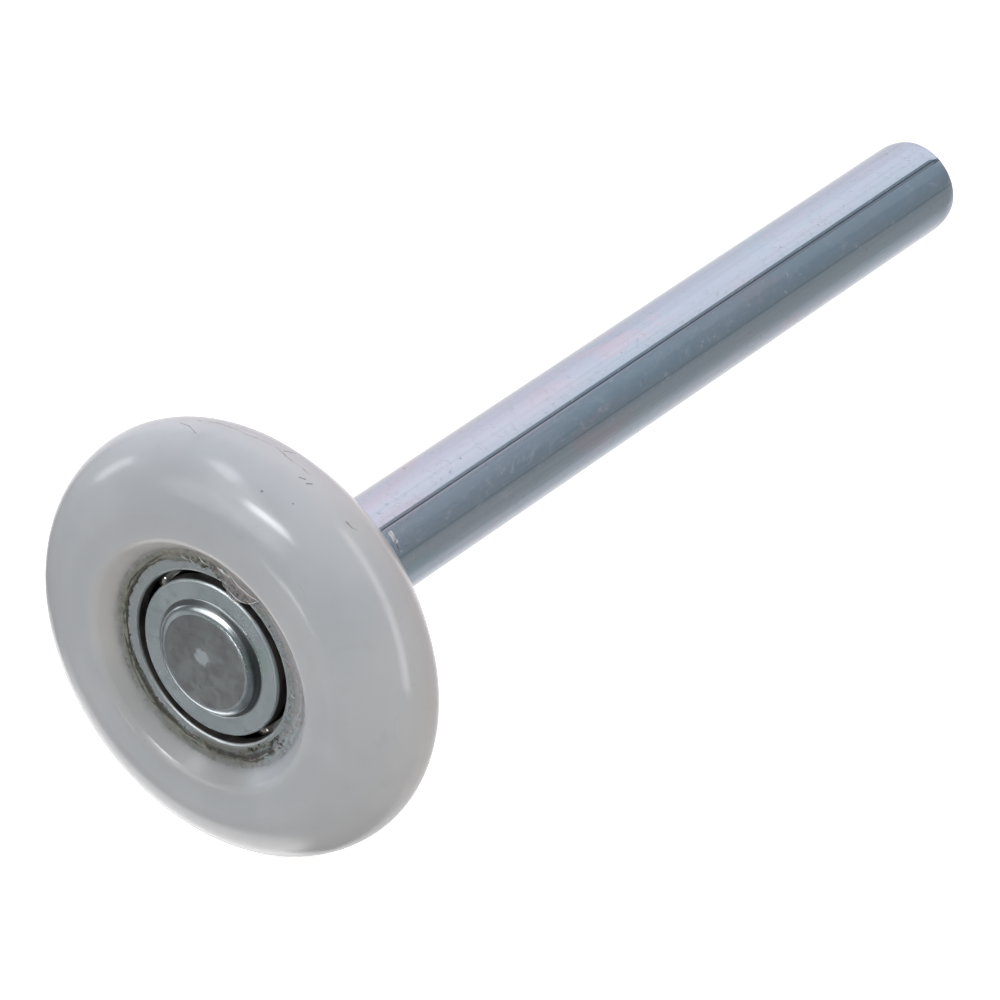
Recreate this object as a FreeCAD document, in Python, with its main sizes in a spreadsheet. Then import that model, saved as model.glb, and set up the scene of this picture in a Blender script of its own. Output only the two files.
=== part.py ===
import FreeCAD, Part
import os
import Sketcher

# Track roller: a nylon wheel that runs on one row of balls round the end of a plain steel stem.
# Millimetres. The origin is the tyre's centre on the axis, and +Y runs along the stem to its free end.
# In every sketch of a turned piece, x is the radius and y is the place along the axis.

SIZES = {
    # stem
    "stem_radius": 5.55,
    "neck_radius": 4.9,
    "disc_radius": 5.25,
    "rivet_depth": 0.45,
    "stem_end": 121.25,
    "taper_length": 2.1,
    "taper_drop": 0.4,
    "tip_rounding": 0.6,
    # seam drawn along the stem, and the stake mark near the wheel
    "seam_angle": 56.0,
    "seam_half_width": 0.35,
    "slit_half_width": 0.04,
    "seam_drop": 0.08,
    "seam_depth": 0.25,
    "lip_radius": 0.64,
    "stake_angle": 39.0,
    "stake_sweep": 19.0,
    "stake_place": 19.5,
    "stake_half_width": 0.3,
    "stake_depth": 0.2,
    "cutter_rise": 0.2,
    # balls
    "ball_radius": 3.175,
    "pitch_radius": 9.35,
    "first_ball_angle": 24.5,
    # races
    "race_clearance": 0.05,
    "groove_radius": 3.3,
    "inner_shoulder": 8.7,
    "inner_face": 4.82,
    "outer_shoulder": 9.6,
    "outer_rim": 14.2,
    "outer_face": 4.7,
    "key_depth": 0.5,
    "key_half_width": 1.2,
    "race_rounding": 0.25,
    # collar of the front inner race
    "collar_foot_radius": 6.75,
    "collar_front": 5.75,
    "collar_rounding": 1.3,
    # tyre
    "tread_radius": 23.8,
    "front_half_width": 7.0,
    "rear_half_width": 6.8,
    "crest_rear_radius": 5.1,
    "rear_shoulder_radius": 5.8,
    "flank_angle": 45.0,
    "lip_edge_radius": 13.75,
    "lip_set_back": 0.15,
    "lip_rounding": 1.2,
    "bowl_foot_radius": 12.2,
    "bowl_foot_height": 0.2,
    "feather_radius": 11.75,
    "feather_height": 0.12,
}

BALLS = 9
MATCH_MM = 0.001  # how closely an edge has to match the place that it is looked for

# Sums of the driving sizes that more than one piece uses, in the sheet's own expression language.
INNER_GROOVE = "Sizes.pitch_radius - Sizes.ball_radius - Sizes.race_clearance"
OUTER_GROOVE = "Sizes.pitch_radius + Sizes.ball_radius + Sizes.race_clearance"
INNER_GROOVE_EDGE = (
    "sqrt(Sizes.groove_radius ^ 2 - (" + INNER_GROOVE + " + Sizes.groove_radius - Sizes.inner_shoulder) ^ 2)"
)
OUTER_GROOVE_EDGE = (
    "sqrt(Sizes.groove_radius ^ 2 - (" + OUTER_GROOVE + " - Sizes.groove_radius - Sizes.outer_shoulder) ^ 2)"
)


def add_sheet(doc):
    sheet = doc.addObject("Spreadsheet::Sheet", "Sizes")
    for row, (alias, value) in enumerate(SIZES.items(), start=1):
        sheet.set(f"A{row}", alias)
        sheet.set(f"B{row}", str(value))
        sheet.setAlias(f"B{row}", alias)
    doc.recompute()
    return sheet


def add_body(doc, label):
    body = doc.addObject("PartDesign::Body", label)
    body.Label = label
    return body


def add_sketch(body, name, role, turn=None):
    """Sketch on one of the body's own origin planes. turn is (axis of the sketch, angle expression)."""
    sketch = body.newObject("Sketcher::SketchObject", name)
    plane = next(item for item in body.Origin.OriginFeatures if item.Role == role)
    sketch.AttachmentSupport = [(plane, "")]
    sketch.MapMode = "FlatFace"
    if turn:
        axis, angle = turn
        sketch.AttachmentOffset = FreeCAD.Placement(FreeCAD.Vector(), FreeCAD.Rotation(axis, 1))
        sketch.setExpression("AttachmentOffset.Rotation.Angle", angle)
    return sketch


def circle_arc(start, end, radius, way):
    """Arc of under half a turn from start to end. way is 1 to turn left along it and -1 to turn right."""
    chord = end - start
    rise = (radius**2 - (chord.Length / 2) ** 2) ** 0.5
    left = FreeCAD.Vector(-chord.y, chord.x, 0) / chord.Length
    centre = (start + end) / 2 + left * rise * way
    circle = Part.Circle(centre, FreeCAD.Vector(0, 0, 1), radius)
    first, last = (start, end) if way > 0 else (end, start)
    return Part.ArcOfCircle(circle, circle.parameter(first), circle.parameter(last))


def draw_outline(sketch, sheet, corners):
    """Closed outline. A corner is (x, y), or (x, y, radius, way) where the edge after it is an arc."""
    points = []
    for corner in corners:
        x, y = (float(sheet.evalExpression(text)) for text in corner[:2])
        points.append(FreeCAD.Vector(x, y, 0))
    ends = []
    for index, corner in enumerate(corners):
        start = points[index]
        end = points[(index + 1) % len(points)]
        if len(corner) == 2:
            edge = sketch.addGeometry(Part.LineSegment(start, end), False)
            ends.append((edge, 1, 2))
            continue
        radius_text, way = corner[2:]
        radius = float(sheet.evalExpression(radius_text))
        edge = sketch.addGeometry(circle_arc(start, end, radius, way), False)
        ends.append((edge, 1, 2) if way > 0 else (edge, 2, 1))
        bound(sketch, Sketcher.Constraint("Radius", edge, radius), f"radius_{index}", radius_text)
    for index, (edge, first, last) in enumerate(ends):
        following, following_first, _ = ends[(index + 1) % len(ends)]
        sketch.addConstraint(Sketcher.Constraint("Coincident", edge, last, following, following_first))
        x_text, y_text = corners[index][:2]
        across = Sketcher.Constraint("DistanceX", -1, 1, edge, first, points[index].x)
        along = Sketcher.Constraint("DistanceY", -1, 1, edge, first, points[index].y)
        bound(sketch, across, f"x_{index}", x_text)
        bound(sketch, along, f"y_{index}", y_text)


def bound(sketch, constraint, name, text):
    index = sketch.addConstraint(constraint)
    sketch.renameConstraint(index, name)
    sketch.setExpression("Constraints." + name, text)


def turn_body(doc, sheet, label, corners):
    """A turned piece: its half section swept all round the axis."""
    body = add_body(doc, label)
    sketch = add_sketch(body, label + "_section", "XY_Plane")
    draw_outline(sketch, sheet, corners)
    doc.recompute()
    turned = body.newObject("PartDesign::Revolution", label + "_turned")
    turned.Profile = sketch
    turned.ReferenceAxis = (sketch, ["V_Axis"])
    turned.Angle = 360
    doc.recompute()
    return body


def round_edges(doc, sheet, body, name, radius, places):
    """Fillet the circular edges at the given (radius, place along the axis) pairs."""
    found = []
    for place in places:
        ring, height = (float(sheet.evalExpression(text)) for text in place)
        for number, edge in enumerate(body.Shape.Edges, start=1):
            box = edge.BoundBox
            if max(abs(box.XMax - ring), abs(box.YMin - height), abs(box.YMax - height)) < MATCH_MM:
                found.append(f"Edge{number}")
    if len(found) != len(places):
        raise RuntimeError(f"{name} found {len(found)} edges of {len(places)}")
    base = body.Tip
    fillet = body.newObject("PartDesign::Fillet", name)
    fillet.Base = (base, found)
    fillet.setExpression("Radius", radius)
    doc.recompute()


def cut(doc, body, feature):
    """Recompute a cutting feature and make sure that it took material away."""
    before = body.Shape.Volume
    doc.recompute()
    if not body.Shape.Volume < before:
        raise RuntimeError(f"{feature.Name} cuts nothing")


def build_stem(doc, sheet):
    """Bar with a neck for the inner races, its front end riveted outward to hold them."""
    # The free end draws in along an arc that leaves the bar smoothly.
    taper_radius = "(Sizes.taper_length ^ 2 + Sizes.taper_drop ^ 2) / (2 * Sizes.taper_drop)"
    tip_radius = "Sizes.stem_radius - Sizes.taper_drop"
    body = turn_body(
        doc,
        sheet,
        "stem",
        [
            ("0", "-Sizes.collar_front"),
            ("Sizes.disc_radius", "-Sizes.collar_front"),
            ("Sizes.neck_radius", "-Sizes.collar_front + Sizes.rivet_depth"),
            ("Sizes.neck_radius", "Sizes.inner_face"),
            ("Sizes.stem_radius", "Sizes.inner_face"),
            ("Sizes.stem_radius", "Sizes.stem_end - Sizes.taper_length", taper_radius, 1),
            (tip_radius, "Sizes.stem_end"),
            ("0", "Sizes.stem_end"),
        ],
    )
    round_edges(doc, sheet, body, "tip_rounding", "Sizes.tip_rounding", [(tip_radius, "Sizes.stem_end")])
    cut_seam(doc, sheet, body)
    cut_stake(doc, sheet, body)
    return body


def cut_seam(doc, sheet, body):
    """A thin slit between two rounded lips, all along the thick part of the stem."""
    sketch = add_sketch(body, "seam_section", "XZ_Plane", (FreeCAD.Vector(0, 0, 1), "Sizes.seam_angle"))
    lip_top = "sqrt(Sizes.stem_radius ^ 2 - Sizes.seam_half_width ^ 2)"
    slit_top = lip_top + " - Sizes.seam_drop"
    slit_foot = "Sizes.stem_radius - Sizes.seam_depth"
    draw_outline(
        sketch,
        sheet,
        [
            (lip_top, "-Sizes.seam_half_width", "Sizes.lip_radius", 1),
            (slit_top, "-Sizes.slit_half_width"),
            (slit_foot, "0"),
            (slit_top, "Sizes.slit_half_width", "Sizes.lip_radius", 1),
            (lip_top, "Sizes.seam_half_width"),
            ("Sizes.stem_radius + Sizes.cutter_rise", "Sizes.seam_half_width"),
            ("Sizes.stem_radius + Sizes.cutter_rise", "-Sizes.seam_half_width"),
        ],
    )
    doc.recompute()
    seam = body.newObject("PartDesign::Pocket", "seam")
    seam.Profile = sketch
    seam.Type = "ThroughAll"
    cut(doc, body, seam)


def cut_stake(doc, sheet, body):
    """A short chisel mark across the stem."""
    sketch = add_sketch(body, "stake_section", "XY_Plane", (FreeCAD.Vector(0, 1, 0), "-Sizes.stake_angle"))
    draw_outline(
        sketch,
        sheet,
        [
            ("Sizes.stem_radius - Sizes.stake_depth", "Sizes.stake_place"),
            ("Sizes.stem_radius + Sizes.cutter_rise", "Sizes.stake_place - Sizes.stake_half_width"),
            ("Sizes.stem_radius + Sizes.cutter_rise", "Sizes.stake_place + Sizes.stake_half_width"),
        ],
    )
    doc.recompute()
    stake = body.newObject("PartDesign::Groove", "stake_mark")
    stake.Profile = sketch
    stake.ReferenceAxis = (sketch, ["V_Axis"])
    stake.Midplane = True
    stake.setExpression("Angle", "Sizes.stake_sweep")
    cut(doc, body, stake)


def build_inner_race_front(doc, sheet):
    """Front half of the inner race. An S-shaped foot joins its face to the collar round the stem's end."""
    rise = "(Sizes.collar_front - Sizes.inner_face)"
    reach = "(Sizes.collar_foot_radius - Sizes.disc_radius)"
    # The two arcs of the S add up to this radius, and meet on the straight line between its ends.
    both = f"(({rise} ^ 2 + {reach} ^ 2) / (2 * {rise}))"
    share = f"(Sizes.collar_rounding / {both})"
    body = turn_body(
        doc,
        sheet,
        "inner_race_front",
        [
            ("Sizes.neck_radius", "0"),
            ("Sizes.neck_radius", "-Sizes.collar_front + Sizes.rivet_depth"),
            ("Sizes.disc_radius", "-Sizes.collar_front", "Sizes.collar_rounding", 1),
            (
                f"Sizes.disc_radius + {reach} * {share}",
                f"-Sizes.collar_front + {rise} * {share}",
                f"{both} - Sizes.collar_rounding",
                -1,
            ),
            ("Sizes.collar_foot_radius", "-Sizes.inner_face"),
            ("Sizes.inner_shoulder", "-Sizes.inner_face"),
            ("Sizes.inner_shoulder", "-" + INNER_GROOVE_EDGE, "Sizes.groove_radius", -1),
            (INNER_GROOVE, "0"),
        ],
    )
    rim = [("Sizes.inner_shoulder", "-Sizes.inner_face")]
    round_edges(doc, sheet, body, "inner_race_front_rounding", "Sizes.race_rounding", rim)
    return body


def build_inner_race_rear(doc, sheet):
    """Rear half of the inner race, which bears on the step of the stem."""
    body = turn_body(
        doc,
        sheet,
        "inner_race_rear",
        [
            ("Sizes.neck_radius", "0"),
            (INNER_GROOVE, "0", "Sizes.groove_radius", -1),
            ("Sizes.inner_shoulder", INNER_GROOVE_EDGE),
            ("Sizes.inner_shoulder", "Sizes.inner_face"),
            ("Sizes.neck_radius", "Sizes.inner_face"),
        ],
    )
    rim = [("Sizes.inner_shoulder", "Sizes.inner_face")]
    round_edges(doc, sheet, body, "inner_race_rear_rounding", "Sizes.race_rounding", rim)
    return body


def build_outer_race(doc, sheet):
    """Ring with the outer ball groove, and a shallow key groove that the tyre's nylon fills."""
    key_floor = "Sizes.outer_rim - Sizes.key_depth"
    body = turn_body(
        doc,
        sheet,
        "outer_race",
        [
            ("Sizes.outer_shoulder", "-Sizes.outer_face"),
            ("Sizes.outer_rim", "-Sizes.outer_face"),
            ("Sizes.outer_rim", "-Sizes.key_half_width"),
            (key_floor, "-Sizes.key_half_width"),
            (key_floor, "Sizes.key_half_width"),
            ("Sizes.outer_rim", "Sizes.key_half_width"),
            ("Sizes.outer_rim", "Sizes.outer_face"),
            ("Sizes.outer_shoulder", "Sizes.outer_face"),
            ("Sizes.outer_shoulder", OUTER_GROOVE_EDGE, "Sizes.groove_radius", -1),
            ("Sizes.outer_shoulder", "-" + OUTER_GROOVE_EDGE),
        ],
    )
    mouths = [("Sizes.outer_shoulder", "-Sizes.outer_face"), ("Sizes.outer_shoulder", "Sizes.outer_face")]
    round_edges(doc, sheet, body, "outer_race_rounding", "Sizes.race_rounding", mouths)
    return body


def build_tyre(doc, sheet):
    """Moulded wheel. Its lips lap over both faces of the outer race and hold it."""
    flank = "Sizes.flank_angle"
    crest = "Sizes.crest_rear_radius"
    shoulder = "Sizes.rear_shoulder_radius"
    # Radius of the rear shoulder arc's centre, from the straight flank that touches both arcs.
    shoulder_centre = (
        f"(Sizes.tread_radius - {crest} + ({crest} - {shoulder}"
        f" - (Sizes.rear_half_width - {shoulder}) * sin({flank})) / cos({flank}))"
    )
    front_crest = "Sizes.tread_radius - Sizes.front_half_width"
    key_floor = "Sizes.outer_rim - Sizes.key_depth"
    front_lip = "-Sizes.front_half_width + Sizes.lip_set_back"
    rear_lip = "Sizes.rear_half_width - Sizes.lip_set_back"
    body = turn_body(
        doc,
        sheet,
        "tyre",
        [
            (front_crest, "-Sizes.front_half_width", "Sizes.front_half_width", 1),
            ("Sizes.tread_radius", "0", crest, 1),
            (f"Sizes.tread_radius - {crest} + {crest} * cos({flank})", f"{crest} * sin({flank})"),
            (
                f"{shoulder_centre} + {shoulder} * cos({flank})",
                f"Sizes.rear_half_width - {shoulder} + {shoulder} * sin({flank})",
                shoulder,
                1,
            ),
            (shoulder_centre, "Sizes.rear_half_width"),
            ("Sizes.lip_edge_radius", rear_lip),
            ("Sizes.bowl_foot_radius", "Sizes.outer_face + Sizes.bowl_foot_height"),
            ("Sizes.feather_radius", "Sizes.outer_face + Sizes.feather_height"),
            ("Sizes.feather_radius", "Sizes.outer_face"),
            ("Sizes.outer_rim", "Sizes.outer_face"),
            ("Sizes.outer_rim", "Sizes.key_half_width"),
            (key_floor, "Sizes.key_half_width"),
            (key_floor, "-Sizes.key_half_width"),
            ("Sizes.outer_rim", "-Sizes.key_half_width"),
            ("Sizes.outer_rim", "-Sizes.outer_face"),
            ("Sizes.feather_radius", "-Sizes.outer_face"),
            ("Sizes.feather_radius", "-Sizes.outer_face - Sizes.feather_height"),
            ("Sizes.bowl_foot_radius", "-Sizes.outer_face - Sizes.bowl_foot_height"),
            ("Sizes.lip_edge_radius", front_lip),
        ],
    )
    lips = [("Sizes.lip_edge_radius", front_lip), ("Sizes.lip_edge_radius", rear_lip)]
    round_edges(doc, sheet, body, "tyre_lip_rounding", "Sizes.lip_rounding", lips)
    return body


def build_ball(doc, number):
    ball = doc.addObject("Part::Sphere", f"ball_{number:02d}")
    ball.Label = f"ball_{number:02d}"
    angle = f"(Sizes.first_ball_angle + {number - 1} * 360 / {BALLS})"
    ball.setExpression("Radius", "Sizes.ball_radius")
    ball.setExpression("Placement.Base.x", f"Sizes.pitch_radius * cos({angle})")
    ball.setExpression("Placement.Base.z", f"Sizes.pitch_radius * sin({angle})")
    return ball


def check(doc, pieces):
    for item in doc.Objects:
        if "Invalid" in item.State or "Error" in item.State:
            raise RuntimeError(f"{item.Name} is {item.State}")
    for piece in pieces:
        if piece.Shape.isNull() or not piece.Shape.isValid() or len(piece.Shape.Solids) != 1:
            raise RuntimeError(f"{piece.Label} is not one valid solid")


def main():
    doc = FreeCAD.newDocument("Roller")
    sheet = add_sheet(doc)
    pieces = [
        build_stem(doc, sheet),
        build_inner_race_front(doc, sheet),
        build_inner_race_rear(doc, sheet),
        build_outer_race(doc, sheet),
        build_tyre(doc, sheet),
    ]
    pieces += [build_ball(doc, number) for number in range(1, BALLS + 1)]
    doc.recompute()
    check(doc, pieces)
    os.makedirs("parts", exist_ok=True)
    for piece in pieces:
        piece.Shape.exportStep(f"parts/{piece.Label}.step")
        print(f"{piece.Label}: {piece.Shape.Volume:.2f} mm3")


main()
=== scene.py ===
"""A door track roller on a pale studio floor.

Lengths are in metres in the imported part's frame: the wheel's centre is the origin, +Y runs along the stem
and +Z is up. Materials and small trim are worked out in millimetres, and angles about the axis run from +X
towards +Z.
"""

import math
import random

import bmesh
import bpy
from mathutils import Matrix, Vector, noise


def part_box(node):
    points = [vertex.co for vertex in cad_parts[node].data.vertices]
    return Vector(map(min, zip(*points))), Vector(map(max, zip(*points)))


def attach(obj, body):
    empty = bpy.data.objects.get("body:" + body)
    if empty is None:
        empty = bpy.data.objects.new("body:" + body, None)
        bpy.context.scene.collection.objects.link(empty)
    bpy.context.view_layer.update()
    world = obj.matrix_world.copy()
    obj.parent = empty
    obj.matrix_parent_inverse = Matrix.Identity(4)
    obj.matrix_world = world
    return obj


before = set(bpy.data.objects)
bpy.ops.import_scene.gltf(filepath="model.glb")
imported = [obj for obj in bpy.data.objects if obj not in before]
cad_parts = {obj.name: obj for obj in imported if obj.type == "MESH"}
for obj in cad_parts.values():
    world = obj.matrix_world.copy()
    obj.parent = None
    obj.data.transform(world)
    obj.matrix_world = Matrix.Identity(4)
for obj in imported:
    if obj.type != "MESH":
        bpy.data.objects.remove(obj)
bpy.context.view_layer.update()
scene = bpy.context.scene

MM = 0.001
SEED = 7

# In millimetres: how far the bearing's face and the riveted end's stand in front of the wheel's centre, and
# the radii of the ball gap's two walls and of the riveted end.
RACE_FACE = -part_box("outer_race")[0].y / MM
DISC_FACE = -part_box("stem")[0].y / MM
GAP_INNER = 8.7
GAP_OUTER = 9.6
DISC_RADIUS = 5.25


# ---------------------------------------------------------------- shader nodes


class Graph:
    """The shader nodes of one material or world, each added and linked in one call."""

    def __init__(self, owner):
        owner.use_nodes = True
        self.nodes = owner.node_tree.nodes
        self.links = owner.node_tree.links
        self.nodes.clear()

    def put(self, socket, value):
        if isinstance(value, bpy.types.NodeSocket):
            self.links.new(value, socket)
        elif isinstance(value, tuple) and len(value) == 3 and socket.type == "RGBA":
            socket.default_value = (*value, 1.0)
        else:
            socket.default_value = value

    def add(self, kind, sockets=None, **settings):
        node = self.nodes.new(kind)
        for name, value in settings.items():
            setattr(node, name, value)
        for name, value in (sockets or {}).items():
            self.put(node.inputs[name], value)
        return node

    def math(self, operation, *values):
        node = self.add("ShaderNodeMath", operation=operation)
        for socket, value in zip(node.inputs, values):
            self.put(socket, value)
        return node.outputs[0]

    def vector(self, operation, *values, output=0):
        node = self.add("ShaderNodeVectorMath", operation=operation)
        for socket, value in zip(node.inputs, values):
            self.put(socket, value)
        return node.outputs[output]

    def step(self, value, start, end, low=0.0, high=1.0):
        """Goes smoothly from low, where value is start, to high, where it is end."""
        sockets = {"Value": value, "From Min": start, "From Max": end, "To Min": low, "To Max": high}
        return self.add("ShaderNodeMapRange", sockets, interpolation_type="SMOOTHSTEP").outputs[0]

    def mix(self, share, first, second):
        """The first colour where share is 0 and the second where it is 1."""
        node = self.add("ShaderNodeMix", data_type="RGBA", clamp_factor=True)
        self.put(node.inputs[0], share)
        self.put(node.inputs[6], first)
        self.put(node.inputs[7], second)
        return node.outputs[2]

    def noise(self, place, scale, detail=2.0, distortion=0.0):
        sockets = {"Vector": place, "Scale": scale, "Detail": detail, "Distortion": distortion}
        return self.add("ShaderNodeTexNoise", sockets).outputs[0]

    def bump(self, height, strength, distance, normal=None):
        node = self.add("ShaderNodeBump", {"Height": height, "Strength": strength, "Distance": distance})
        if normal is not None:
            self.put(node.inputs["Normal"], normal)
        return node.outputs[0]

    def both(self, *masks):
        """The product of the masks."""
        product = masks[0]
        for mask in masks[1:]:
            product = self.math("MULTIPLY", product, mask)
        return product

    def any(self, *masks):
        """The largest of the masks."""
        largest = masks[0]
        for mask in masks[1:]:
            largest = self.math("MAXIMUM", largest, mask)
        return largest

    def band(self, value, middle, half_width, edge):
        """1 within half_width of middle, falling to 0 over edge."""
        off = self.math("ABSOLUTE", self.math("SUBTRACT", value, middle))
        return self.step(off, half_width + edge, half_width)


class Surface(Graph):
    """A material whose graph knows the place on the object, in millimetres in the row frame."""

    def __init__(self, name):
        self.material = bpy.data.materials.new(name)
        super().__init__(self.material)
        metres = self.add("ShaderNodeTexCoord").outputs["Object"]
        self.place = self.vector("MULTIPLY", metres, (1000.0, 1000.0, 1000.0))
        split = self.add("ShaderNodeSeparateXYZ", {"Vector": self.place})
        self.x, self.y, self.z = split.outputs
        flat = self.vector("MULTIPLY", self.place, (1.0, 0.0, 1.0))
        self.radius = self.vector("LENGTH", flat, output="Value")
        self.outward = self.vector("NORMALIZE", flat)
        self.shader = self.add("ShaderNodeBsdfPrincipled")
        output = self.add("ShaderNodeOutputMaterial")
        self.links.new(self.shader.outputs[0], output.inputs["Surface"])

    def set(self, **values):
        """Sets the shader's sockets; a name's underscores stand for spaces."""
        for name, value in values.items():
            self.put(self.shader.inputs[name.replace("_", " ")], value)

    def stretched(self, x, y, z):
        return self.vector("MULTIPLY", self.place, (x, y, z))

    def round_axis(self, along, across):
        """Coordinates whose noise is drawn out round the axis: along is per radian, across per millimetre."""
        way = self.vector("SCALE", self.outward)
        self.put(way.node.inputs["Scale"], along)
        outwards = self.math("MULTIPLY", self.radius, across)
        return self.vector("ADD", way, self.add("ShaderNodeCombineXYZ", {"Y": outwards}).outputs[0])

    def sector(self, degrees, half_width, edge):
        """1 within half_width of that angle about the axis, falling to 0 over edge; all in degrees."""
        a = math.radians(degrees)
        facing = self.vector("DOT_PRODUCT", self.outward, (math.cos(a), 0.0, math.sin(a)), output="Value")
        outer, inner = math.radians(half_width + edge), math.radians(half_width)
        return self.step(facing, math.cos(outer), math.cos(inner))

    def specks(self, spacing, size, share, seed=0.0):
        """Small round specks of the given radius, in about that share of cells spacing apart."""
        moved = self.vector("ADD", self.place, (seed, seed * 1.7, seed * 2.3))
        cells = self.add("ShaderNodeTexVoronoi", {"Vector": moved, "Scale": 1.0 / spacing})
        lot = self.add("ShaderNodeSeparateColor", {0: cells.outputs["Color"]}).outputs[0]
        chosen = self.math("LESS_THAN", lot, share)
        near = self.step(cells.outputs["Distance"], size / spacing, 0.5 * size / spacing)
        return self.both(chosen, near)

    def hairlines(self, scale, width, amount, seed=0.0):
        """Thin wandering lines, where a noise crosses its middle value, in patches."""
        moved = self.vector("ADD", self.place, (seed, -seed, seed * 0.7))
        field = self.noise(moved, scale, detail=1.0, distortion=1.5)
        off = self.math("ABSOLUTE", self.math("SUBTRACT", field, 0.5))
        patches = self.noise(moved, scale * 0.8, detail=3.0)
        return self.both(self.step(off, width, width * 0.3), self.step(patches, 1.0 - amount, 1.02 - amount))

    def mark(self, start, end, width):
        """A ragged straight mark between two places on the surface, each in millimetres."""
        start, end = Vector(start), Vector(end)
        along = end - start
        wander = self.noise(self.place, 1.6, detail=3.0)
        reach = self.vector("SUBTRACT", self.place, tuple(start))
        way = self.vector("DOT_PRODUCT", reach, tuple(along), output="Value")
        share = self.math("DIVIDE", way, along.length_squared)
        share = self.math("MINIMUM", self.math("MAXIMUM", share, 0.0), 1.0)
        nearest = self.vector("SCALE", tuple(along))
        self.put(nearest.node.inputs["Scale"], share)
        off = self.vector("LENGTH", self.vector("SUBTRACT", reach, nearest), output="Value")
        limit = self.math("MULTIPLY", wander, 2.0 * width)
        return self.step(self.math("DIVIDE", off, limit), 1.1, 0.6)


# ------------------------------------------------------------------- materials


def zinc_stem():
    """Bright zinc plate on the stem; its riveted end is a dull sheared disc with one paler spot."""
    s = Surface("zinc_stem")
    drift = s.noise(s.stretched(0.10, 0.035, 0.10), 1.0, detail=3.0)
    drift_two = s.noise(s.stretched(0.22, 0.06, 0.22), 1.0, detail=2.0, distortion=0.6)
    colour = s.mix(s.step(drift, 0.35, 0.65), (0.73, 0.78, 0.83), (0.80, 0.80, 0.84))
    colour = s.mix(s.step(drift_two, 0.56, 0.70), colour, (0.84, 0.77, 0.81))
    colour = s.mix(s.step(drift_two, 0.42, 0.30), colour, (0.70, 0.80, 0.84))
    streaks = s.noise(s.stretched(2.6, 0.02, 2.6), 1.0, detail=4.0)
    grain = s.noise(s.place, 2.2, detail=4.0)
    scratches = s.hairlines(0.5, 0.008, 0.38)
    short_scratches = s.hairlines(1.5, 0.016, 0.44, seed=31.0)
    specks = s.any(s.specks(1.6, 0.11, 0.14), s.both(s.specks(0.7, 0.09, 0.14, seed=3.0), 0.5))
    wear = s.any(scratches, s.both(short_scratches, 0.7), specks)
    bands = s.noise(s.stretched(1.1, 0.006, 1.1), 1.0, detail=3.0)
    colour = s.mix(s.both(s.step(bands, 0.5, 0.68), 0.30), colour, (0.60, 0.66, 0.72))
    seam = s.both(s.sector(54.3, 1.5, 0.7), s.step(s.y, 10.0, 11.0))
    colour = s.mix(s.both(seam, s.step(s.y, 40.0, 112.0, 0.58, 0.82)), colour, (0.07, 0.10, 0.12))
    draw_line = s.both(s.sector(20.5, 0.5, 1.0), s.step(s.y, 10.0, 11.0))
    colour = s.mix(s.both(draw_line, 0.25), colour, (0.30, 0.34, 0.37))
    colour = s.mix(s.both(s.step(streaks, 0.5, 0.75), 0.26), colour, (0.56, 0.61, 0.66))
    colour = s.mix(s.both(wear, 0.55), colour, (0.30, 0.31, 0.33))
    # Painted glint: the stake mark is painted near white and made less metallic, to show the glint on its
    # facet.
    stake_painted_glint = s.both(s.band(s.y, 19.5, 0.24, 0.12), s.sector(43.0, 6.0, 3.0), s.step(grain, 0.40, 0.52))

    end = s.both(s.step(s.y, -5.0, -5.2), s.step(s.radius, DISC_RADIUS + 0.1, DISC_RADIUS - 0.05))
    mottle = s.noise(s.place, 0.55, detail=5.0, distortion=0.4)
    dull = s.mix(s.step(mottle, 0.3, 0.7), (0.29, 0.295, 0.30), (0.43, 0.435, 0.43))
    upper_left = s.step(s.math("SUBTRACT", s.z, s.x), -2.0, 7.0)
    dull = s.mix(s.both(upper_left, 0.5), dull, (0.26, 0.265, 0.27))
    pits = s.any(s.specks(0.8, 0.10, 0.2, seed=5.0), s.mark((-0.75, -5.8, -3.1), (-0.3, -5.8, -3.8), 0.07))
    dull = s.mix(s.both(pits, 0.7), dull, (0.12, 0.12, 0.125))
    spot_off = s.vector("LENGTH", s.vector("SUBTRACT", s.place, (-0.35, -DISC_FACE, 0.43)), output="Value")
    ragged = s.math("ADD", spot_off, s.math("MULTIPLY", s.noise(s.place, 2.2, detail=4.0), 1.1))
    dull = s.mix(s.step(ragged, 1.60, 1.20), dull, (0.66, 0.71, 0.73))

    s.set(
        Base_Color=s.mix(stake_painted_glint, s.mix(end, colour, dull), (0.92, 0.97, 0.97)),
        Metallic=s.math("SUBTRACT", 1.0, s.both(stake_painted_glint, 0.8)),
        Roughness=s.math("ADD", s.step(grain, 0.2, 0.8, 0.16, 0.24), s.both(end, 0.26)),
    )
    dents = s.noise(s.stretched(0.45, 0.09, 0.45), 1.0, detail=3.0)
    uneven = s.bump(dents, 0.35, 0.0001)
    lines = s.bump(streaks, 0.12, 0.00002, uneven)
    fine = s.bump(grain, 0.04, 0.00002, lines)
    plain = s.math("SUBTRACT", 1.0, s.both(wear, s.math("SUBTRACT", 1.0, end)))
    s.set(Normal=s.bump(plain, 0.3, 0.00002, fine))
    return s.material


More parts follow.
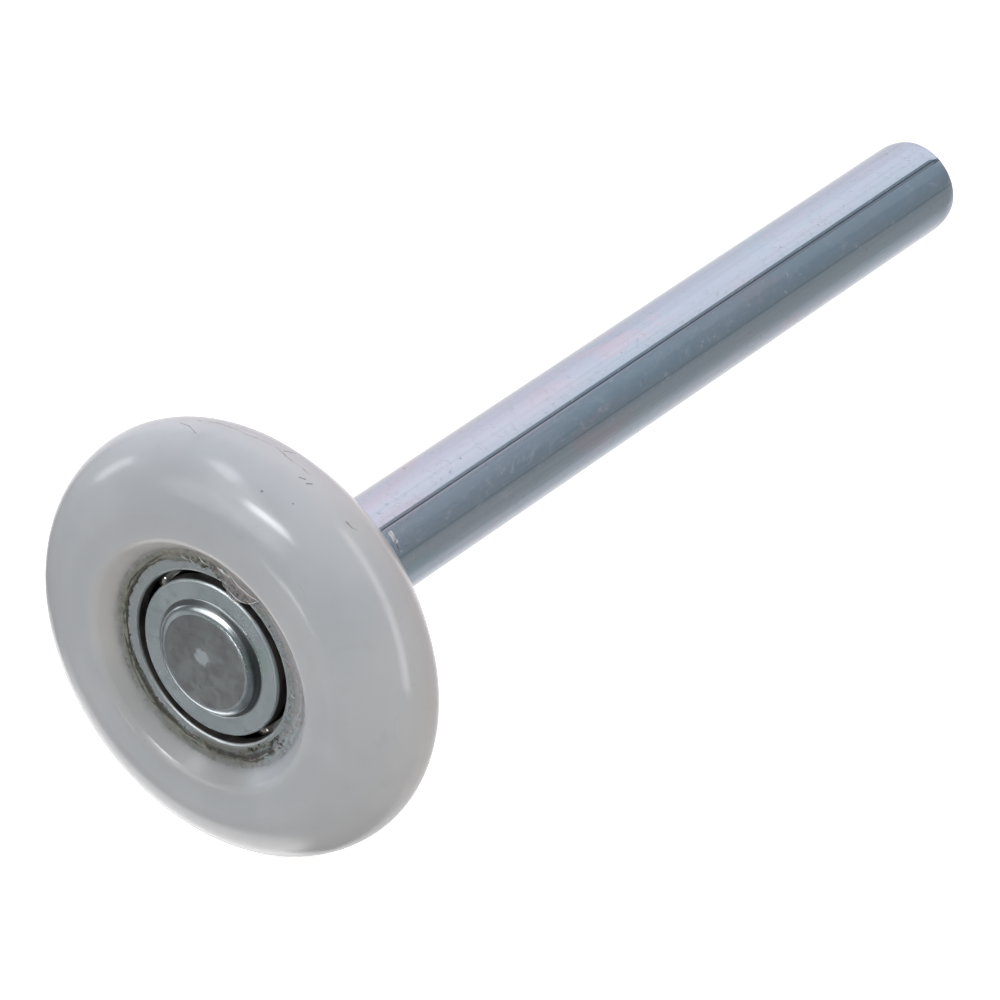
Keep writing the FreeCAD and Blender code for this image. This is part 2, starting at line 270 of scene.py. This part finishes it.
def zinc_race():
    """Bright zinc plate on the bearing's races, painted near black inside the ball gap for old grease and for
    the shade deep in the gap, with a band of painted shade round the base of the collar.
    """
    s = Surface("zinc_race")
    cloud = s.noise(s.place, 0.35, detail=3.0)
    colour = s.mix(s.step(cloud, 0.35, 0.65), (0.62, 0.67, 0.69), (0.70, 0.75, 0.77))
    tint = s.noise(s.place, 0.22, detail=2.0, distortion=0.8)
    colour = s.mix(s.step(tint, 0.58, 0.72), colour, (0.60, 0.71, 0.66))
    colour = s.mix(s.step(s.radius, 9.4, 9.7), colour, (0.64, 0.67, 0.67))
    grain = s.noise(s.place, 0.9, detail=2.0)
    colour = s.mix(s.both(s.step(grain, 0.5, 0.7), 0.35), colour, (0.46, 0.48, 0.49))
    specks = s.any(s.specks(0.9, 0.10, 0.14), s.specks(0.6, 0.06, 0.2, seed=8.0))
    colour = s.mix(s.both(specks, 0.7), colour, (0.13, 0.12, 0.11))

    front = s.step(s.y, 0.0, -1.0)
    # Painted shade: a dark band round the concave base of the collar on the front face.
    collar_foot_shade = s.both(s.band(s.radius, 6.34, 0.16, 0.14), s.sector(40.0, 100.0, 30.0), front)
    colour = s.mix(s.both(collar_foot_shade, 0.8), colour, (0.05, 0.055, 0.055))

    # Painted shade with old grease: the walls of the ball gap and the faces deep in the bearing are painted
    # near black.
    depth = s.math("ABSOLUTE", s.y)
    inside = s.both(s.band(s.radius, 0.5 * (GAP_INNER + GAP_OUTER), 0.5, 0.12), s.step(depth, 4.68, 4.45))
    deep = s.both(s.step(depth, 4.4, 4.2), s.step(s.radius, 6.2, 6.4))
    grease = s.any(inside, deep)
    black = s.mix(s.step(cloud, 0.4, 0.6), (0.055, 0.052, 0.049), (0.12, 0.11, 0.10))

    corners = s.any(*(s.band(s.radius, edge, 0.12, 0.08) for edge in (GAP_INNER - 0.12, GAP_OUTER + 0.12)))
    smear = s.noise(s.place, 0.8, detail=4.0, distortion=0.5)
    caked = s.both(s.sector(-75.0, 22.0, 14.0), s.step(s.radius, 9.7, 10.3), 0.95)
    outer_dirt = s.any(s.both(s.step(s.radius, 10.4, 11.4), s.step(smear, 0.46, 0.64)), caked)
    colour = s.mix(s.both(outer_dirt, 0.8), colour, (0.19, 0.185, 0.15))

    dulled = s.both(s.any(outer_dirt, collar_foot_shade, corners), 0.25)
    s.set(
        Base_Color=s.mix(grease, colour, black),
        Metallic=s.math("SUBTRACT", 1.0, s.both(s.any(grease, s.both(outer_dirt, 0.7)), 0.75)),
        Roughness=s.math("ADD", s.step(cloud, 0.3, 0.7, 0.19, 0.24), dulled),
    )
    s.set(Normal=s.bump(cloud, 0.10, 0.0001))
    return s.material


def ball_steel():
    """Hard steel under a dark film of grease, bright only where it glints."""
    s = Surface("ball_steel")
    film = s.noise(s.place, 0.9, detail=4.0)
    colour = s.mix(s.step(film, 0.40, 0.60), (0.55, 0.54, 0.52), (0.30, 0.28, 0.26))
    s.set(Base_Color=colour, Metallic=1.0, Roughness=s.step(film, 0.3, 0.7, 0.06, 0.14))
    s.set(Normal=s.bump(film, 0.1, 0.0001))
    return s.material


def nylon_base(s):
    """The milky nylon's own colour, a little cloudy, as in a thick moulding."""
    cloud = s.noise(s.place, 0.07, detail=3.0, distortion=0.4)
    colour = s.mix(s.step(cloud, 0.3, 0.7), (0.66, 0.69, 0.705), (0.73, 0.755, 0.765))
    fine = s.noise(s.place, 0.5, detail=3.0)
    colour = s.mix(s.both(s.step(fine, 0.55, 0.8), 0.3), colour, (0.63, 0.65, 0.655))
    return s.mix(s.both(s.step(s.y, -3.0, 4.0), 0.8), colour, (0.745, 0.72, 0.675))


def dirt_line(s, radius, wander, widest, patch, seed):
    """A ragged line of dirt round the axis, near that radius, of uneven width and broken into patches."""
    shift = s.vector("ADD", s.round_axis(4.0, 1.0), (seed, seed, seed))
    line = s.noise(shift, 1.0, detail=5.0, distortion=0.2)
    place = s.math("ADD", s.radius, s.math("MULTIPLY", s.math("SUBTRACT", line, 0.5), wander))
    patches = s.noise(s.vector("ADD", s.round_axis(3.5, 0.3), (seed, 0.0, -seed)), 1.0, detail=4.0)
    off = s.math("ABSOLUTE", s.math("SUBTRACT", place, radius))
    limit = s.step(patches, patch - 0.05, patch + 0.16, 0.004, widest)
    return s.both(s.step(s.math("DIVIDE", off, limit), 1.5, 0.5), s.step(patches, patch - 0.06, patch + 0.03))


def soil_junction(s, colour):
    """Stains the nylon towards the race, paints shade low in the bowl and light on its right side, and draws
    dirt lines round it; returns the lines' mask too.
    """
    smear = s.noise(s.place, 0.7, detail=4.0, distortion=0.4)
    fine = s.noise(s.place, 1.8, detail=3.0, distortion=0.4)
    worn = s.math("ADD", s.radius, s.math("MULTIPLY", smear, 0.9))
    stained = s.math("SUBTRACT", 1.0, s.both(s.sector(5.0, 50.0, 35.0), 0.75))
    colour = s.mix(s.both(s.step(worn, 15.4, 12.8), 0.5, stained), colour, (0.90, 0.85, 0.78))
    # Painted shade: the low part of the bowl, towards the race, is darkened.
    low_bowl_painted_shade = s.both(s.sector(-112.0, 25.0, 35.0), s.step(worn, 16.0, 13.6))
    colour = s.mix(s.both(low_bowl_painted_shade, 0.5), colour, (0.50, 0.505, 0.50))
    # Painted light: the bowl's right side, towards the race, is lightened and turned bluish.
    right_bowl_painted_light = s.both(s.sector(-8.0, 38.0, 25.0), s.step(worn, 15.0, 12.6))
    colour = s.mix(s.both(right_bowl_painted_light, 0.6), colour, (0.80, 0.86, 0.93))
    # An olive stain near the race, which is also painted shade on the bowl's inner wall.
    colour = s.mix(s.both(s.step(worn, 13.0, 12.0), 0.85, stained), colour, (0.33, 0.34, 0.285))
    mottled = s.both(s.step(fine, 0.48, 0.70), s.step(s.radius, 12.5, 12.0), 0.45)
    colour = s.mix(mottled, colour, (0.18, 0.18, 0.145))
    clean = s.both(s.sector(38.0, 40.0, 22.0), s.step(s.radius, 12.2, 11.6))
    colour = s.mix(s.both(clean, 0.55), colour, (0.62, 0.58, 0.60))

    dusty = s.sector(-142.0, 88.0, 20.0)
    smudge = s.both(s.band(s.radius, 11.1, 0.2, 0.55), s.step(smear, 0.40, 0.62), dusty)
    colour = s.mix(s.both(smudge, 0.5), colour, (0.13, 0.13, 0.10))
    dirtiest = s.any(
        s.sector(-50.0, 13.0, 10.0),
        s.both(s.sector(96.0, 9.0, 8.0), 0.8),
        s.both(s.sector(-160.0, 4.0, 5.0), 0.9),
    )
    blots = s.both(s.band(s.radius, 11.05, 0.18, 0.30), s.step(fine, 0.48, 0.56), dirtiest)
    dirt = s.any(
        s.both(dirt_line(s, 10.95, 0.9, 0.26, 0.37, 0.0), s.any(dusty, 0.25)),
        s.both(dirt_line(s, 11.45, 1.3, 0.14, 0.43, 3.0), s.any(dusty, 0.35), 0.85),
        blots,
    )
    return s.mix(s.both(dirt, 0.9), colour, (0.055, 0.05, 0.040)), dirt


# Marks from handling on the tyre, each from one place to another with its half width. Places are the radius,
# the angle in degrees and y.
TYRE_MARKS = (
    ((23.79, 106.5, -0.50), (23.76, 103.0, -0.80), 0.06),
    ((23.76, 103.0, -0.80), (23.60, 99.0, -1.70), 0.05),
    ((23.80, 53.5, -0.40), (23.80, 51.5, -0.30), 0.08),
    ((23.80, 51.5, -0.30), (23.80, 50.5, 0.00), 0.05),
    ((22.51, 73.1, -4.04), (22.52, 72.9, -4.01), 0.12),
    ((23.03, 65.1, -3.16), (23.04, 64.9, -3.14), 0.10),
    ((23.66, 77.5, 1.20), (23.25, 75.5, 2.30), 0.10),
    ((23.75, 69.0, -0.60), (23.78, 67.8, -0.30), 0.11),
    ((23.76, 66.6, -0.60), (23.78, 65.8, -0.20), 0.12),
)


def nylon_tyre():
    """Milky nylon, stained and dirty where it meets the race, with painted shade and light in the bowl there,
    and a few scuffs from handling.
    """
    s = Surface("nylon_tyre")
    colour, dirt = soil_junction(s, nylon_base(s))
    grain = s.noise(s.place, 1.4, detail=3.0)
    specks = s.specks(6.0, 0.16, 0.22)
    fine_specks = s.specks(2.6, 0.07, 0.16, seed=9.0)
    hairs = s.hairlines(0.16, 0.0022, 0.36)
    marks = [s.mark(around(*start), around(*end), width) for start, end, width in TYRE_MARKS]
    scuffs = s.any(specks, fine_specks, s.both(hairs, 0.5), *marks)
    colour = s.mix(s.both(scuffs, 0.7), colour, (0.27, 0.24, 0.20))
    wander = s.math("MULTIPLY", s.math("SUBTRACT", s.noise(s.place, 0.4, detail=4.0), 0.5), 1.6)
    rubbed = s.both(s.band(s.math("ADD", s.y, wander), 0.7, 0.03, 0.09), s.sector(86.0, 16.0, 3.0))
    colour = s.mix(s.both(rubbed, s.step(grain, 0.35, 0.6, 0.2, 0.75)), colour, (0.38, 0.28, 0.20))

    wave = s.noise(s.place, 0.12, detail=2.0)
    bowl = s.step(s.radius, 17.5, 13.5, 0.0, 0.045)
    s.set(
        Base_Color=colour,
        Roughness=s.math("ADD", s.step(grain, 0.2, 0.8, 0.17, 0.20), s.any(s.both(dirt, 0.35), bowl)),
        Subsurface_Weight=0.6,
        Subsurface_Radius=(1.0, 0.95, 0.9),
        Subsurface_Scale=0.003,
        IOR=1.53,
    )
    s.set(Normal=s.bump(grain, 0.02, 0.00002, s.bump(wave, 0.05, 0.0004)))
    return s.material


def nylon_film():
    """Thin torn nylon over the race's face: the tyre's colour, clearer where it is thinnest."""
    s = Surface("nylon_film")
    colour, dirt = soil_junction(s, (0.34, 0.35, 0.31))
    wrinkles = s.noise(s.round_axis(24.0, 1.2), 1.0, detail=4.0, distortion=0.5)
    thin = s.both(s.step(s.radius, 11.1, 10.5), s.step(wrinkles, 0.3, 0.6, 0.25, 0.6))
    cover = s.math("SUBTRACT", s.step(wrinkles, 0.3, 0.7, 0.98, 0.85), thin)
    s.set(
        Base_Color=s.mix(s.both(s.step(wrinkles, 0.5, 0.3), 0.4), colour, (0.24, 0.24, 0.20)),
        Roughness=s.step(wrinkles, 0.2, 0.8, 0.16, 0.30),
        Alpha=s.any(cover, dirt),
        Subsurface_Weight=0.3,
        Subsurface_Scale=0.0006,
        IOR=1.53,
    )
    s.set(Normal=s.bump(wrinkles, 0.5, 0.0002))
    return s.material


def nylon_curl():
    """Torn edges of nylon, whiter than the tyre, in part as a painted highlight where they catch the light.
    """
    s = Surface("nylon_curl")
    cloud = s.noise(s.place, 1.3, detail=3.0)
    s.set(
        Base_Color=s.mix(s.step(cloud, 0.35, 0.5), (0.60, 0.61, 0.57), (0.92, 0.93, 0.91)),
        Roughness=s.step(cloud, 0.3, 0.7, 0.12, 0.24),
        IOR=1.53,
    )
    s.set(Normal=s.bump(cloud, 0.3, 0.0001))
    return s.material


def grime():
    """Dried grease and dust."""
    s = Surface("grime")
    lumps = s.noise(s.place, 3.0, detail=5.0)
    colour = s.mix(s.step(lumps, 0.35, 0.65), (0.035, 0.030, 0.024), (0.16, 0.14, 0.10))
    s.set(Base_Color=colour, Roughness=s.step(lumps, 0.3, 0.7, 0.45, 0.8))
    s.set(Normal=s.bump(lumps, 0.8, 0.0002))
    return s.material


def studio_floor():
    """Pale floor, lifted towards white so that the shadow stays faint."""
    s = Surface("studio_floor")
    mottle = s.noise(s.place, 0.004, detail=2.0)
    s.set(
        Base_Color=s.mix(mottle, (0.86, 0.86, 0.865), (0.88, 0.88, 0.88)),
        Roughness=0.9,
        Emission_Color=(1.0, 1.0, 1.0),
        Emission_Strength=0.62,
    )
    return s.material


# ------------------------------------------------------------------ small trim


def ring_noise(angle, frequency, seed):
    """A smooth random value from about -1 to 1 that repeats once round the axis."""
    return noise.noise(Vector((math.cos(angle) * frequency, math.sin(angle) * frequency, seed)))


def plateau(angle, start, end, edge):
    """1 between two angles in degrees, falling smoothly to 0 over edge degrees outside them."""
    middle, half = 0.5 * (start + end), 0.5 * (end - start)
    off = abs((math.degrees(angle) - middle + 180.0) % 360.0 - 180.0)
    share = min(max((half + edge - off) / edge, 0.0), 1.0)
    return share * share * (3.0 - 2.0 * share)


def on_axis(radius, angle, y):
    """The place, in metres, at a radius and an angle about the axis; radius and y in millimetres."""
    return Vector((radius * math.cos(angle), y, radius * math.sin(angle))) * MM


def around(radius, degrees, y):
    """The same place, in millimetres and from an angle in degrees."""
    return on_axis(radius, math.radians(degrees), y) / MM


def new_piece(name, mesh, material, body):
    piece = bpy.data.objects.new(name, mesh)
    scene.collection.objects.link(piece)
    mesh.materials.append(material)
    for polygon in mesh.polygons:
        polygon.use_smooth = True
    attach(piece, body)


def closed_ring(columns, section):
    """A closed ring about the axis. section(angle) gives its cross-section there, as (radius, y) points."""
    made = bmesh.new()
    loops = []
    for column in range(columns):
        angle = 2.0 * math.pi * column / columns
        loops.append([made.verts.new(on_axis(r, angle, y)) for r, y in section(angle)])
    for column in range(columns):
        here, there = loops[column], loops[(column + 1) % columns]
        for i in range(len(here)):
            j = (i + 1) % len(here)
            made.faces.new((here[i], here[j], there[j], there[i]))
    bmesh.ops.recalc_face_normals(made, faces=made.faces)
    return made


FRONT_SEED = 3.1
REAR_SEED = 47.3
FLASH_COLUMNS = 1080
FLASH_OUTER = 12.45
FLASH_ROWS = 16
FLAP_START = 60.0
FLAP_END = 77.0


def flash_edge(angle, seed, flap):
    """Radius of the flash's torn inner edge."""
    radius = 10.95 - 0.8 * plateau(angle, -15.0, 80.0, 12.0) - 0.35 * plateau(angle, 88.0, 112.0, 10.0)
    radius -= 0.6 * plateau(angle, -62.0, -25.0, 12.0) + 0.35 * plateau(angle, -150.0, -75.0, 15.0)
    radius += 0.14 * ring_noise(angle, 5.0, seed) + 0.10 * ring_noise(angle, 16.0, seed + 1.0)
    radius += 0.06 * ring_noise(angle, 50.0, seed + 2.0)
    if flap:
        radius -= 0.4 * plateau(angle, FLAP_START, FLAP_END, 3.0) + 0.85 * plateau(angle, 67.0, 70.0, 8.0)
    return radius


def flash_section(angle, seed, flap, side):
    """The flash is a thin film on the race's face, thicker outwards; its flap stands over the ball gap."""
    inner = flash_edge(angle, seed, flap)
    lift = 0.34 * plateau(angle, FLAP_START, FLAP_END, 6.0) if flap else 0.0
    crease = 0.14 * plateau(angle, 56.0, 76.0, 3.0) if flap else 0.0
    top, bottom = [], []
    for row in range(FLASH_ROWS):
        share = row / (FLASH_ROWS - 1)
        radius = inner + (FLASH_OUTER - inner) * share
        height = 0.04 + 0.13 * share ** 0.7
        height += 0.06 * ring_noise(angle, 5.0, seed + radius * 2.6)
        height += 0.03 * ring_noise(angle, 60.0, seed + 9.0 + radius * 2.0)
        raised = lift * (1.0 - share) ** 0.6
        fold = crease * math.exp(-(((radius - 10.9) / 0.13) ** 2))
        top.append((radius, side * (RACE_FACE + max(height, 0.025) + raised + fold)))
        bottom.append((radius, side * (RACE_FACE - 0.03 + raised)))
    return top + bottom[::-1]


def build_flash(material):
    rings = (("nylon_flash_front", FRONT_SEED, True, -1.0), ("nylon_flash_rear", REAR_SEED, False, 1.0))
    for name, seed, flap, side in rings:
        made = closed_ring(FLASH_COLUMNS, lambda angle: flash_section(angle, seed, flap, side))
        mesh = bpy.data.meshes.new(name)
        made.to_mesh(mesh)
        made.free()
        new_piece(name, mesh, material, "wheel")


def add_sliver(made, start, middle, end, width, rise):
    """A thin pointed strip of torn nylon that bows away from the surface; places are (radius, degrees, y)."""
    ends = [on_axis(r, math.radians(a), y) for r, a, y in (start, middle, end)]
    steps = 14
    sides = 6
    loops = []
    for step in range(steps + 1):
        t = step / steps
        point = ends[0] * (1 - t) ** 2 + ends[1] * 2 * t * (1 - t) + ends[2] * t ** 2
        tangent = (ends[1] - ends[0]) * (1 - t) + (ends[2] - ends[1]) * t
        across = tangent.cross(Vector((0.0, 1.0, 0.0))).normalized()
        out = across.cross(tangent).normalized()
        size = width * MM * (0.12 + math.sin(math.pi * t) ** 0.7)
        point = point - Vector((0.0, rise * MM * math.sin(math.pi * t), 0.0))
        loop = []
        for side in range(sides):
            turn = 2.0 * math.pi * side / sides
            offset = across * (size * math.cos(turn)) + out * (0.45 * size * math.sin(turn))
            loop.append(made.verts.new(point + offset))
        loops.append(loop)
    for here, there in zip(loops, loops[1:]):
        for i in range(sides):
            j = (i + 1) % sides
            made.faces.new((here[i], here[j], there[j], there[i]))
    made.faces.new(loops[0][::-1])
    made.faces.new(loops[-1])


# The larger burrs: start, middle and end, each as radius, degrees and height over the race's face, then the
# width and how far it bows out.
BURRS = (
    ((11.5, 107.0, 0.15), (11.2, 105.0, 0.2), (10.9, 102.5, 0.1), 0.06, 0.2),
    ((11.3, 102.0, 0.15), (11.0, 101.0, 0.2), (10.7, 99.5, 0.1), 0.05, 0.1),
    ((11.7, 96.0, 0.1), (11.2, 92.0, 0.3), (11.0, 89.0, 0.15), 0.06, 0.1),
    ((11.3, 84.0, 0.2), (11.5, 78.0, 0.35), (11.1, 73.0, 0.25), 0.12, 0.12),
    ((10.4, 79.0, 0.3), (8.9, 68.0, 0.45), (10.1, 58.5, 0.4), 0.05, 0.0),
    ((10.1, 58.5, 0.4), (10.6, 56.0, 0.4), (11.4, 55.0, 0.2), 0.06, 0.0),
    ((11.6, 76.0, 0.3), (10.8, 65.0, 0.6), (11.6, 54.0, 0.35), 0.07, 0.0),
)


def build_burrs(material):
    """Curls at the top, the bright rim of the flap and small torn ends round the junction."""
    made = bmesh.new()
    face = -RACE_FACE
    for start, middle, end, width, rise in BURRS:
        places = ((radius, degrees, face - height) for radius, degrees, height in (start, middle, end))
        add_sliver(made, *places, width, rise)
    rng = random.Random(SEED)
    for _ in range(9):
        angle = rng.uniform(-60.0, 118.0)
        radius = rng.uniform(10.75, 11.6)
        turn = rng.uniform(-5.0, 5.0)
        reach = rng.uniform(-0.5, 0.5)
        start = (radius, angle, face - 0.1)
        middle = (radius + 0.6 * reach, angle + 0.4 * turn, face - 0.25)
        end = (radius + reach, angle + turn, face - rng.uniform(0.1, 0.25))
        width = rng.uniform(0.03, 0.07)
        add_sliver(made, start, middle, end, width, rng.uniform(0.0, 0.12))
    bmesh.ops.recalc_face_normals(made, faces=made.faces)
    mesh = bpy.data.meshes.new("nylon_burrs")
    made.to_mesh(mesh)
    made.free()
    new_piece("nylon_burrs", mesh, material, "wheel")


def add_crumb(made, centre, size, rng):
    """A squashed irregular lump."""
    stretch = Matrix.Diagonal((rng.uniform(0.7, 1.6), rng.uniform(0.35, 0.6), rng.uniform(0.7, 1.6), 1.0))
    turn = Matrix.Rotation(rng.uniform(0.0, 2.0 * math.pi), 4, "Y")
    fresh = bmesh.ops.create_icosphere(made, subdivisions=2, radius=size * MM)["verts"]
    salt = rng.uniform(0.0, 50.0)
    for vert in fresh:
        way = vert.co.normalized()
        vert.co *= 1.0 + 0.45 * noise.noise(way * 1.6 + Vector((salt, 0.0, 0.0)))
        vert.co = centre + turn @ (stretch @ vert.co)


def build_grime(material):
    """Crumbs of dried grease along the flash's edge, largest at the bottom right and the top."""
    made = bmesh.new()
    rng = random.Random(SEED + 1)
    for start, end, count, largest in (
        (-64.0, -34.0, 50, 0.14),
        (-140.0, -64.0, 50, 0.08),
        (150.0, 222.0, 50, 0.08),
        (-34.0, 60.0, 30, 0.06),
        (78.0, 104.0, 30, 0.11),
    ):
        for _ in range(count):
            angle = math.radians(rng.uniform(start, end))
            radius = flash_edge(angle, FRONT_SEED, False) + rng.gauss(0.0, 0.13)
            size = largest * rng.uniform(0.3, 1.0) ** 1.6
            add_crumb(made, on_axis(radius, angle, -RACE_FACE - 0.06), size, rng)
    mesh = bpy.data.meshes.new("junction_grime")
    made.to_mesh(mesh)
    made.free()
    new_piece("junction_grime", mesh, material, "wheel")


# ---------------------------------------------------------------------- studio


def direction(azimuth, elevation):
    """Unit vector towards that azimuth, where 0 is the wheel's front and 90 is +X, in degrees."""
    a, e = math.radians(azimuth), math.radians(elevation)
    return Vector((math.sin(a) * math.cos(e), -math.cos(a) * math.cos(e), math.sin(e)))


def area_light(name, centre, across, up, width, height, radiance, colour):
    """A softbox shining on the object's side; radiance is what its face shows in a mirror."""
    data = bpy.data.lights.new(name, "AREA")
    data.shape = "RECTANGLE"
    data.size = width
    data.size_y = height
    data.energy = radiance * math.pi * width * height
    data.color = colour
    light = bpy.data.objects.new(name, data)
    scene.collection.objects.link(light)
    across = across.normalized()
    back = across.cross(up).normalized()
    up = back.cross(across)
    light.matrix_world = Matrix.Translation(centre) @ Matrix((across, up, back)).transposed().to_4x4()
    light.visible_camera = False
    return light


def softbox(name, azimuth, elevation, distance, width, height, radiance, colour, roll=0.0, glossy=True):
    """A softbox facing the wheel from that direction."""
    back = direction(azimuth, elevation)
    across = Vector((0.0, 0.0, 1.0)).cross(back).normalized()
    across = Matrix.Rotation(math.radians(roll), 3, back) @ across
    light = area_light(name, back * distance, across, back.cross(across), width, height, radiance, colour)
    light.visible_glossy = glossy


# What a mirror sees behind the wheel, where y is large: degrees about the stem from +X towards +Z, and the
# radiance there. Steps between neighbours a few degrees apart are the panel's edge and the floor's.
BACK_ROOM = (
    (-180.0, (0.61, 0.60, 0.64)),
    (-150.0, (0.95, 0.95, 0.97)),
    (-122.0, (1.00, 1.00, 1.00)),
    (-105.0, (0.74, 0.75, 0.78)),
    (-87.0, (0.53, 0.55, 0.59)),
    (-57.0, (0.36, 0.39, 0.42)),
    (-46.0, (0.26, 0.29, 0.31)),
    (-11.0, (0.235, 0.26, 0.275)),
    (-6.0, (0.165, 0.205, 0.23)),
    (25.0, (0.19, 0.24, 0.285)),
    (58.0, (0.27, 0.33, 0.385)),
    (71.0, (0.25, 0.30, 0.35)),
    (77.0, (0.70, 0.75, 0.84)),
    (118.0, (0.76, 0.785, 0.90)),
    (158.0, (0.65, 0.655, 0.76)),
)

# What a mirror sees in front: azimuth, elevation, the radius of the even part, its edge's, in degrees, and
# the radiance. Later patches lie over earlier ones.
FRONT_ROOM = (
    (-37.0, -31.0, 7.0, 18.0, (0.35, 0.37, 0.38)),
    (-52.0, -19.0, 5.0, 15.0, (0.44, 0.46, 0.47)),
    (-73.0, 33.0, 12.0, 26.0, (0.06, 0.065, 0.07)),
    (62.0, -8.0, 26.0, 50.0, (0.055, 0.06, 0.065)),
    (0.0, -82.0, 14.0, 26.0, (0.09, 0.10, 0.105)),
    (-32.0, 14.0, 11.0, 18.0, (1.40, 1.42, 1.45)),
    (-17.0, 22.0, 12.0, 18.0, (2.30, 2.32, 2.35)),
    (-24.0, 42.0, 12.0, 19.0, (1.40, 1.42, 1.45)),
    (-83.0, -58.0, 15.0, 22.0, (1.80, 1.80, 1.82)),
    (-116.0, -50.0, 13.0, 19.0, (1.80, 1.80, 1.82)),
    (-21.0, -19.0, 1.6, 2.8, (9.0, 9.0, 9.0)),
)

# The tall narrow window seen along the tyre's right: its ends, as azimuth and elevation, its half width and
# its edge's, in degrees, and the radiance.
WINDOW = ((119.0, 52.0), (97.0, -14.0), 2.5, 5.0, (3.6, 3.6, 3.65))


def build_world():
    """White for the camera, panels and dark corners for mirrors, an even fill for the rest."""
    world = bpy.data.worlds.new("studio")
    scene.world = world
    g = Graph(world)
    way = g.add("ShaderNodeTexCoord").outputs["Generated"]
    x, y, z = g.add("ShaderNodeSeparateXYZ", {"Vector": way}).outputs
    turn = g.math("DIVIDE", g.math("ARCTAN2", z, x), 2.0 * math.pi)
    ramp = g.add("ShaderNodeValToRGB", {"Fac": g.math("ADD", turn, 0.5)})
    stops = ramp.color_ramp.elements
    stops.remove(stops[1])
    for degrees, colour in BACK_ROOM:
        stop = stops[0] if degrees == -180.0 else stops.new((degrees + 180.0) / 360.0)
        stop.color = (*colour, 1.0)

    front = (0.15, 0.16, 0.165)  # the front room between its patches
    for azimuth, elevation, radius, edge, colour in FRONT_ROOM:
        near = g.vector("DOT_PRODUCT", way, tuple(direction(azimuth, elevation)), output="Value")
        patch = g.step(near, math.cos(math.radians(edge)), math.cos(math.radians(radius)))
        front = g.mix(patch, front, colour)
    upper, lower, half_width, edge, colour = WINDOW
    upper, lower = direction(*upper), direction(*lower)
    sideways = g.vector("DOT_PRODUCT", way, tuple(upper.cross(lower).normalized()), output="Value")
    lengthways = g.vector("DOT_PRODUCT", way, tuple((upper + lower).normalized()), output="Value")
    half_length = 0.5 * upper.angle(lower)
    inner, outer = math.sin(math.radians(half_width)), math.sin(math.radians(half_width + edge))
    strip = g.both(
        g.step(g.math("ABSOLUTE", sideways), outer, inner),
        g.step(lengthways, math.cos(half_length + math.radians(edge)), math.cos(half_length)),
    )
    front = g.mix(strip, front, colour)
    room = g.mix(g.step(y, 0.38, 0.46), front, ramp.outputs[0])

    path = g.add("ShaderNodeLightPath")
    ground, sky = (0.67, 0.62, 0.585), (0.168, 0.192, 0.216)
    right_wall, left_wall = (1.20, 1.12, 1.09), (0.98, 0.83, 0.82)
    fill = g.mix(g.step(z, -0.65, -0.10), ground, sky)
    fill = g.mix(g.both(g.step(x, 0.50, 0.98), g.step(z, 0.7, 0.2)), fill, right_wall)
    fill = g.mix(g.both(g.step(x, -0.1, -0.9), g.step(z, 0.5, -0.3)), fill, left_wall)
    seen = g.mix(path.outputs["Is Glossy Ray"], fill, room)
    seen = g.mix(path.outputs["Is Camera Ray"], seen, (1.0, 1.0, 1.0))
    background = g.add("ShaderNodeBackground", {"Color": seen, "Strength": 1.0})
    g.links.new(background.outputs[0], g.add("ShaderNodeOutputWorld").inputs["Surface"])


def build_lights():
    lavender = (0.93, 0.84, 1.0)
    cool = (0.96, 0.98, 1.0)
    # The large panel behind and above, whose edge runs along the stem's reflection.
    right_edge, left_edge = Vector((0.226, 0.0, 0.60)), Vector((-1.0, 0.0, 0.06))
    near, far = 0.20, 1.45
    centre = 0.5 * (right_edge + left_edge) + Vector((0.0, 0.5 * (near + far), 0.0))
    across = right_edge - left_edge
    depthways = Vector((0.0, 1.0, 0.0))
    back = area_light("back_panel", centre, across, depthways, across.length, far - near, 0.58, lavender)
    back.visible_glossy = False
    softbox("key_box", -4.0, 38.5, 1.0, 0.34, 0.15, 14.0, cool)
    softbox("left_box", -50.0, 57.0, 1.0, 0.32, 0.20, 4.2, cool)
    softbox("side_box", -79.0, 8.0, 1.0, 0.16, 0.30, 2.8, cool)
    softbox("overhead", -158.0, 66.0, 1.2, 1.2, 1.2, 1.22, (1.0, 0.92, 0.99), roll=45.0, glossy=False)


def build_floor():
    mesh = bpy.data.meshes.new("floor")
    half = 3.0
    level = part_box("tyre")[0].z
    corners = [(-half, -half, level), (half, -half, level), (half, half, level), (-half, half, level)]
    mesh.from_pydata(corners, [], [(0, 1, 2, 3)])
    floor = bpy.data.objects.new("floor", mesh)
    scene.collection.objects.link(floor)
    mesh.materials.append(studio_floor())
    floor.visible_glossy = False
    floor.visible_diffuse = False


def build_camera():
    azimuth, elevation = 37.467, 31.385
    data = bpy.data.cameras.new("camera")
    data.sensor_width = 36.0
    data.lens = 205.7
    camera = bpy.data.objects.new("camera", data)
    scene.collection.objects.link(camera)
    camera.location = (0.31396, -0.36699, 0.31036)
    camera.rotation_mode = "QUATERNION"
    camera.rotation_quaternion = (-direction(azimuth, elevation)).to_track_quat("-Z", "Y")
    scene.camera = camera


# ----------------------------------------------------------------------- build


def dress_frame():
    """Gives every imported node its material."""
    finishes = {
        "stem": zinc_stem(),
        "inner_race_front": zinc_race(),
        "tyre": nylon_tyre(),
        "ball": ball_steel(),
    }
    finishes["inner_race_rear"] = finishes["inner_race_front"]
    finishes["outer_race"] = finishes["inner_race_front"]
    for name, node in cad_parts.items():
        kind = "ball" if name.startswith("ball_") else name
        node.data.materials.clear()
        node.data.materials.append(finishes[kind])


dress_frame()
film = nylon_film()
build_flash(film)
build_burrs(nylon_curl())
build_grime(grime())
build_world()
build_lights()
build_floor()
build_camera()
scene.view_settings.view_transform = "Standard"
